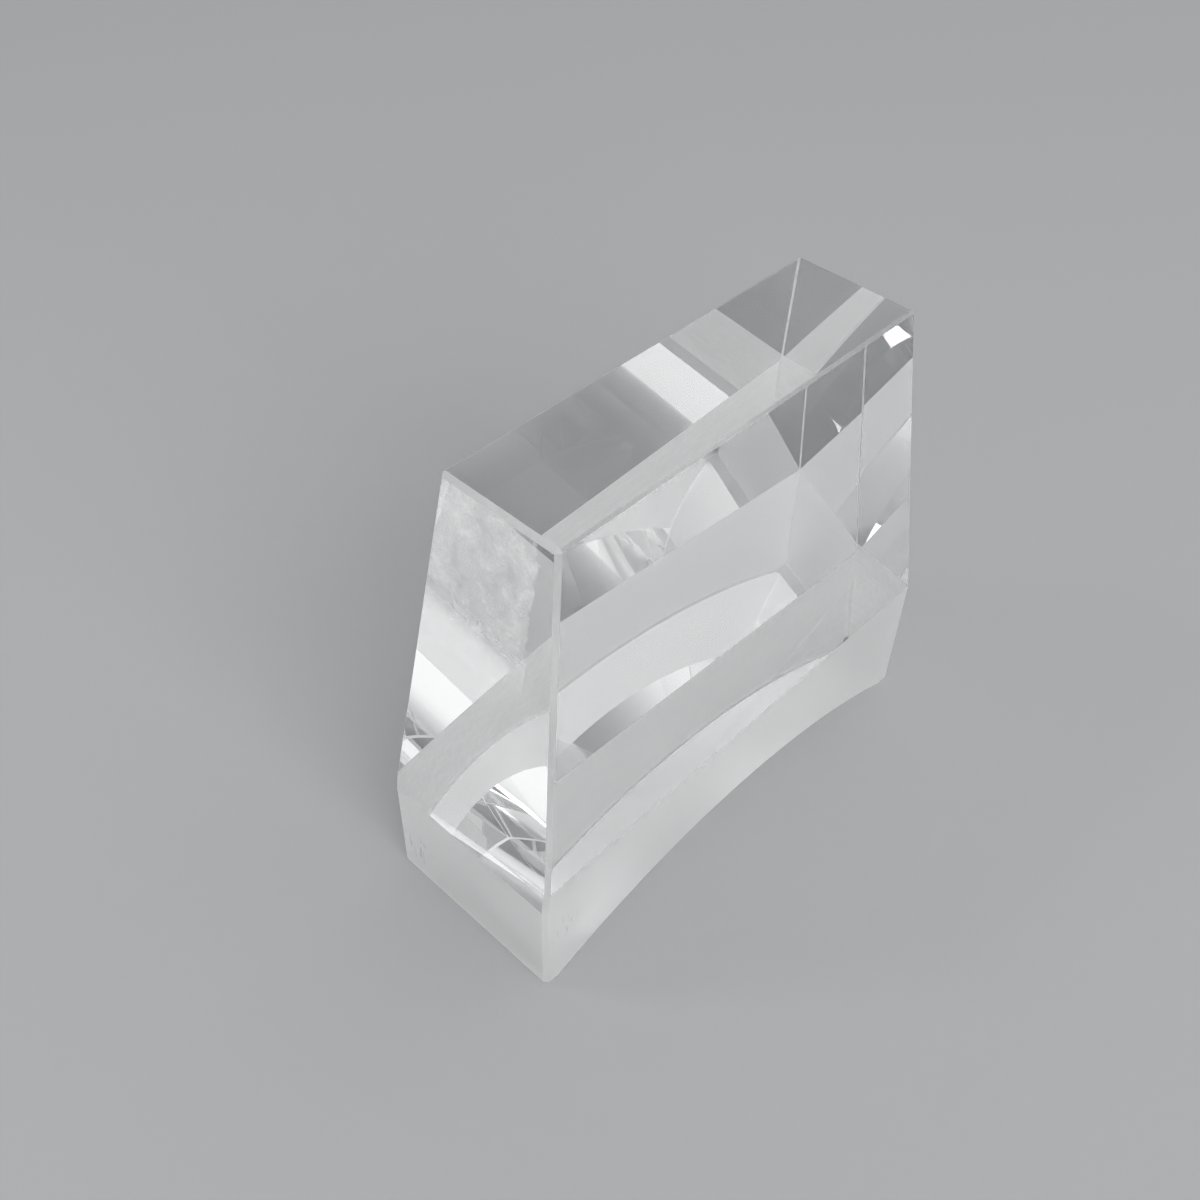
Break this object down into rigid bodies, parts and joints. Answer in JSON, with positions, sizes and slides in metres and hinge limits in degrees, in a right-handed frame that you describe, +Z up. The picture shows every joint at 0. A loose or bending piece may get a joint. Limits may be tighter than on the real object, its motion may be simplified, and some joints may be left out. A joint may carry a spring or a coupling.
{
  "type": "tapered glass prism block",
  "caption": "Solid optical glass block: ground upright base band, polished leaning walls and top, bevelled edges, and a concave cylindrical underside between narrow end feet.",
  "frame": {"origin": "centre of the base rectangle, on the plane that the feet stand on", "axes": "+X along the length of the base towards the right end, +Y from the front wall to the back wall, +Z up through the polished top face"},
  "size_m": [0.06, 0.0222, 0.0545],
  "materials": {
    "optical_glass": "polished leaning walls, top and underside; fine-ground base band and edge bevels"
  },
  "bodies": {
    "root": {"prism": "optical_glass"}
  },
  "joints": []
}
